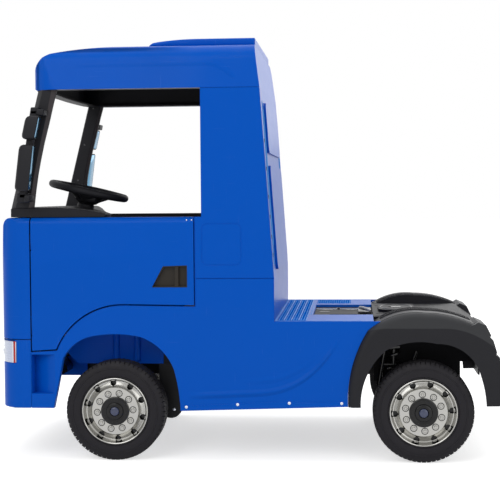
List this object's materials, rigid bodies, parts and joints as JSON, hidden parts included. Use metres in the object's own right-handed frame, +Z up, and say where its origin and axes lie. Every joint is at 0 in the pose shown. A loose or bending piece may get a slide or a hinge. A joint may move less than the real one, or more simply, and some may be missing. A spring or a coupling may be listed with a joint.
{
  "type": "ride-on toy semi truck tractor",
  "caption": "A child's battery ride-on toy in the shape of a blue semi truck tractor unit, with opening doors, a turning steering wheel, steered front wheels and a coupling plate.",
  "frame": {"origin": "floor under the middle of the bounding box", "axes": "X runs from the front bumper to the tail, Y from the vehicle's left side to its right side, Z up"},
  "size_m": [1.262, 0.77, 1.062],
  "materials": {
    "body_plastic": "glossy blow-moulded plastic, blue",
    "trim_plastic": "satin moulded plastic, black",
    "inner_plastic": "matt moulded plastic, charcoal",
    "seat_plastic": "grained moulded plastic, black",
    "clear_lens": "silvered lens, glossy",
    "red_lens": "red lens, glossy",
    "mirror_foil": "mirror foil",
    "frame_steel": "black painted steel tube",
    "axle_steel": "bare steel, lightly worn",
    "battery_case": "plain battery case, dark grey",
    "tyre_plastic": "moulded tyre, satin black",
    "plated_rim": "plated plastic, bright silver"
  },
  "bodies": {
    "body": {"front_panel": "body_plastic", "grille": "trim_plastic", "bumper": "body_plastic", "intake": "trim_plastic", "headlamps": "clear_lens", "side_markers": "red_lens", "lower_side_left": "body_plastic", "lower_side_right": "body_plastic", "cab_side_left": "body_plastic", "cab_side_right": "body_plastic", "cab_rear": "body_plastic", "pillars": "trim_plastic", "roof_shell": "body_plastic", "roof_liner": "inner_plastic", "roof_fairing": "body_plastic", "mirror_left": "trim_plastic", "mirror_right": "trim_plastic", "mirror_faces": "mirror_foil", "dashboard": "inner_plastic", "tub": "body_plastic", "pedal": "inner_plastic", "seat": "seat_plastic", "chassis": "frame_steel", "cross_members": "frame_steel", "outriggers": "frame_steel", "brackets": "frame_steel", "battery_tray": "trim_plastic", "battery": "battery_case", "front_axle": "frame_steel", "rear_axle": "axle_steel", "gearboxes": "inner_plastic", "deck": "body_plastic", "slide_plate": "trim_plastic", "tail_cover": "trim_plastic", "coupling_plate": "trim_plastic", "tail_lamps": "red_lens", "mudguard_left": "trim_plastic", "mudguard_right": "trim_plastic"},
    "door_body_left": {"door_left": "body_plastic", "door_handle_left": "trim_plastic"},
    "door_body_right": {"door_right": "body_plastic", "door_handle_right": "trim_plastic"},
    "steering": {"steering_wheel": "inner_plastic"},
    "steer_body_left": {"knuckle_left": "axle_steel"},
    "steer_body_right": {"knuckle_right": "axle_steel"},
    "track_rod": {"tie_rod": "axle_steel"},
    "wheel_front_left": {"tyre_front_left": "tyre_plastic", "rim_front_left": "plated_rim", "hubcap_front_left": "trim_plastic"},
    "wheel_front_right": {"tyre_front_right": "tyre_plastic", "rim_front_right": "plated_rim", "hubcap_front_right": "trim_plastic"},
    "wheel_rear_left": {"tyre_rear_left": "tyre_plastic", "rim_rear_left": "plated_rim", "hubcap_rear_left": "trim_plastic"},
    "wheel_rear_right": {"tyre_rear_right": "tyre_plastic", "rim_rear_right": "plated_rim", "hubcap_rear_right": "trim_plastic"}
  },
  "joints": [
    {"name": "steering_turn", "type": "hinge", "parent": "body", "child": "steering", "pos_m": [-0.426, -0.15, 0.679], "axis": [0.2198, 0, 0.9755], "range_deg": [-30, 30]},
    {"name": "steer_left", "type": "hinge", "parent": "body", "child": "steer_body_left", "pos_m": [-0.3274, -0.238, 0.125], "axis": [0, 0, 1], "range_deg": [-20.1, 20.1]},
    {"name": "steer_right", "type": "hinge", "parent": "body", "child": "steer_body_right", "pos_m": [-0.3274, 0.238, 0.125], "axis": [0, 0, 1], "range_deg": [-20.1, 20.1]},
    {"name": "track_rod_slide", "type": "slide", "parent": "body", "child": "track_rod", "axis": [0, 1, 0], "range_m": [-0.021, 0.021]},
    {"name": "door_left_swing", "type": "hinge", "parent": "body", "child": "door_body_left", "pos_m": [-0.539, -0.333, 0.452], "axis": [0, 0, -1], "range_deg": [0, 65]},
    {"name": "door_right_swing", "type": "hinge", "parent": "body", "child": "door_body_right", "pos_m": [-0.539, 0.333, 0.452], "axis": [0, 0, 1], "range_deg": [0, 65]},
    {"name": "roll_front_left", "type": "hinge", "parent": "steer_body_left", "child": "wheel_front_left", "pos_m": [-0.3274, -0.3, 0.125], "axis": [0, 1, 0], "continuous": true},
    {"name": "roll_front_right", "type": "hinge", "parent": "steer_body_right", "child": "wheel_front_right", "pos_m": [-0.3274, 0.3, 0.125], "axis": [0, 1, 0], "continuous": true},
    {"name": "roll_rear_left", "type": "hinge", "parent": "body", "child": "wheel_rear_left", "pos_m": [0.4423, -0.3, 0.125], "axis": [0, 1, 0], "continuous": true},
    {"name": "roll_rear_right", "type": "hinge", "parent": "body", "child": "wheel_rear_right", "pos_m": [0.4423, 0.3, 0.125], "axis": [0, 1, 0], "continuous": true}
  ],
  "couplings": [
    {"joint": "steer_left", "follows": "steering_turn", "ratio": 0.6667},
    {"joint": "steer_right", "follows": "steering_turn", "ratio": 0.6667},
    {"joint": "track_rod_slide", "follows": "steering_turn", "m_per_rad": 0.0393}
  ]
}
